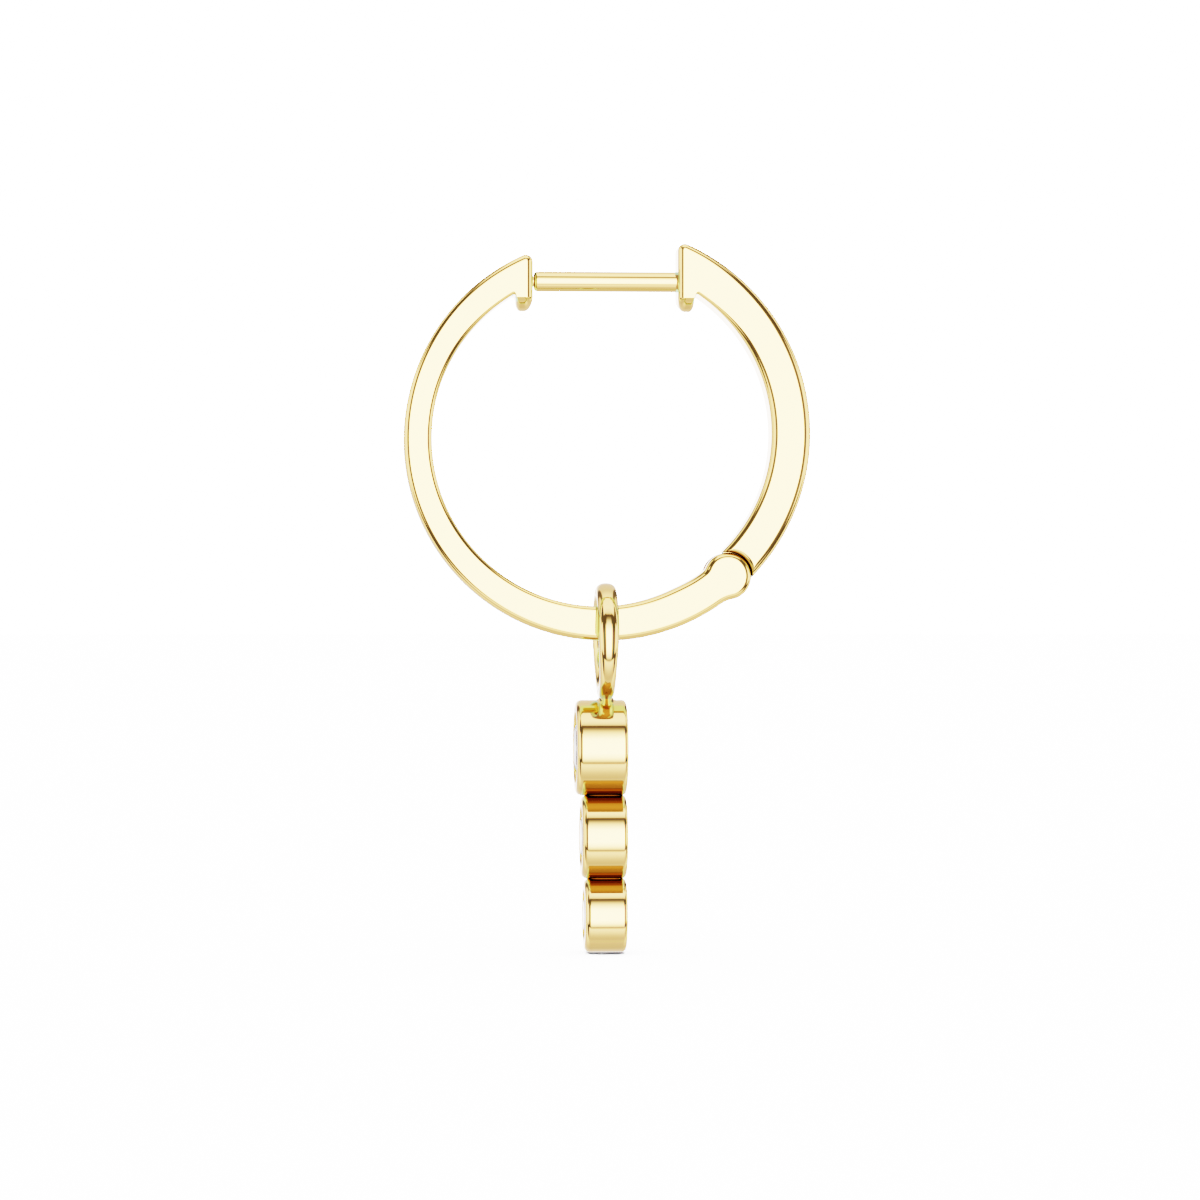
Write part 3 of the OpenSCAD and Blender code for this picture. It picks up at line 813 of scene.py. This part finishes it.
def studio_light():
    world = bpy.data.worlds.new("studio")
    world.use_nodes = True
    world.node_tree.nodes.clear()
    bench = Wire(world.node_tree)
    way = bench.node("TexCoord", out="Generated")
    x, y, z = [bench.node("SeparateXYZ", {}, {0: way}, out=axis) for axis in range(3)]
    turn = math.degrees(1)
    lift = bench.maths("ARCTAN2", z, 0 - y) * turn
    swing = bench.maths("ARCSINE", x) * turn
    brightest = 7

    def steps(value, low, high, stops):
        """Light that changes with a direction, from (direction, level) stops."""
        shown = [((place - low) / (high - low), level / brightest) for place, level in stops]
        return bench.node("ValToRGB", {"stops": shown}, {0: (value - low) / (high - low)}) * brightest

    # the card in front, by its height and its width, and the gap round it
    card_height = steps(lift, -90, 90, [
        (-90, 1.1), (-82, 1.1), (-78, 0.93), (-70, 1.02), (-61, 1.34), (-53, 1.86), (-45, 2.35),
        (-40, 2.4), (-38.5, 1.6), (-37.2, 0.75), (-34.6, 0.75), (-33, 1.6), (-30, 2.6), (-22, 5.0),
        (-12, 7.0), (10, 7.0), (20.8, 6.4), (29.6, 4.0), (36.4, 2.6), (41, 1.7), (45.8, 0.62),
        (50.5, 0.2), (53.5, 0.08), (55, 0.3), (56.8, 1.3), (62, 2.2), (70, 2.9), (90, 2.6)])
    spread = steps(lift, -90, 90, [
        (-90, 2.5), (-41, 2.5), (-36, 0), (53, 0), (58, 1.4), (90, 1.4)]) * 10
    side = bench.maths("ABSOLUTE", swing - 2) - spread
    card_width = steps(side, -30, 90, [
        (-30, 1), (12, 1), (17, 0.75), (21, 0.45), (23, 0.04), (51, 0.04), (54, 0), (90, 0)])

    # the room beside and behind the card, darker below
    beside = steps(side, -30, 90, [(-30, 0), (51, 0), (54, 1), (90, 1)])
    polar = bench.maths("ARCCOSINE", 0 - y) * turn
    room = steps(polar, 0, 180, [
        (0, 2.3), (60, 2.5), (90, 2.6), (103, 2.1), (120, 1.2), (150, 1.1), (166, 2.0), (172, 5.0),
        (175, 5.0), (177, 1.0), (180, 1.0)])
    under = steps(z, -1, 1, [
        (-1, 2.0), (-0.97, 2.2), (-0.85, 3.6), (-0.7, 4.6), (-0.4, 5.0), (1, 5.0)]) / 5
    room = room * under
    ahead = bench.maths("LESS_THAN", y, 0.0)
    lean = steps(bench.maths("ABSOLUTE", swing - 2), 0, 90, [(0, 0), (9, 0), (17, 1), (90, 1)])
    corner = steps(lift, -90, 90, [(-90, 0), (33, 0), (39, 1), (57, 1), (60, 0), (90, 0)]) * lean
    front = card_height * card_width * (1 - corner * 0.9) + room * beside
    darkest = 0.13
    front = bench.maths("MAXIMUM", front, darkest)
    behind = steps(bench.maths("ABSOLUTE", swing), 0, 90, [
        (0, 1), (22, 1), (26, 0.14), (36, 0.14), (40, 1), (90, 1)])
    raised = steps(z, 0, 1, [(0, 0), (0.06, 0), (0.2, 1), (1, 1)])
    behind = 1 - (1 - behind) * raised
    level = front * ahead + room * behind * (1 - ahead)

    # light that has met the gold more than once is dimmer, and lime where it comes from the sides,
    # from behind or aslant from the front
    turns = bench.node("LightPath", out="Glossy Depth")
    twice = steps(lift, -90, 90, [
        (-90, 0.5), (-57, 0.62), (-30, 0.78), (-12, 0.77), (3, 0.6), (15, 0.48), (48, 0.36), (90, 0.3)])
    more = bench.maths("GREATER_THAN", turns, 1.5)
    third = bench.maths("GREATER_THAN", turns, 2.5)
    later = bench.maths("GREATER_THAN", turns, 3.5)
    aside = steps(bench.maths("ABSOLUTE", x), 0, 1, [(0, 0), (0.6, 0), (0.75, 1), (1, 1)])
    over = steps(bench.maths("ABSOLUTE", lift), 0, 180, [(0, 0), (82, 0), (96, 1), (180, 1)])
    slant = steps(x * z, 0, 1, [(0, 0), (0.065, 0), (0.1, 0.6), (1, 0.6)])
    slant = slant * steps(bench.maths("ABSOLUTE", z), 0, 1, [(0, 1), (0.38, 1), (0.46, 0), (1, 0)]) * ahead
    through = bench.maths("GREATER_THAN", bench.node("LightPath", out="Transmission Depth"), 0.5)
    lime = bench.maths("MAXIMUM", bench.maths("MAXIMUM", aside, over), slant) * more * (1 - through)
    fall = 1 - (third * 0.5 + later * 0.34) * (1 - lime * 0.8)
    level = level * (1 - more) + twice * fall * more
    tint = bench.node("Mix", {"data_type": "RGBA"},
                      {0: lime, 6: (1, 1, 1, 1), 7: (2.1, 5.4, 9.5, 1)}, out=2)

    # a ray that has come through a stone meets only the dimmed light of the front
    level = level * (1 - through) + front * 0.42 * through

    # the camera sees a plain white background, and the floor is lit from above
    backdrop = 20.0
    seen = bench.node("LightPath", out="Is Camera Ray")
    soft = bench.node("LightPath", out="Is Diffuse Ray")
    spent = bench.maths("GREATER_THAN", bench.node("LightPath", out="Diffuse Depth"), 0.5)
    skylight = steps(z, 0, 1, [(0, 0.02), (0.7, 0.02), (0.84, 5), (1, 5)]) * 7
    level = level * (1 - bench.maths("MAXIMUM", seen, spent)) + backdrop * seen + skylight * soft
    sky = bench.node("Background", {}, {"Color": tint, "Strength": level})
    bench.node("OutputWorld", {}, {"Surface": sky})
    bpy.context.scene.world = world
    bpy.context.scene.view_settings.view_transform = "Filmic"
    bpy.context.scene.view_settings.look = "High Contrast"


pale_floor()
studio_light()

eye = Vector((-8.61, -134.3, -11.68)) * MM
aim = Vector((-0.155, 0.0, -11.0)) * MM
lens = bpy.data.cameras.new("camera")
lens.lens = 116.8
lens.sensor_width = 36
lens.clip_start = 0.001
camera = bpy.data.objects.new("camera", lens)
camera.location = eye
camera.rotation_euler = (aim - eye).to_track_quat("-Z", "Y").to_euler()
bpy.context.scene.collection.objects.link(camera)
bpy.context.scene.camera = camera
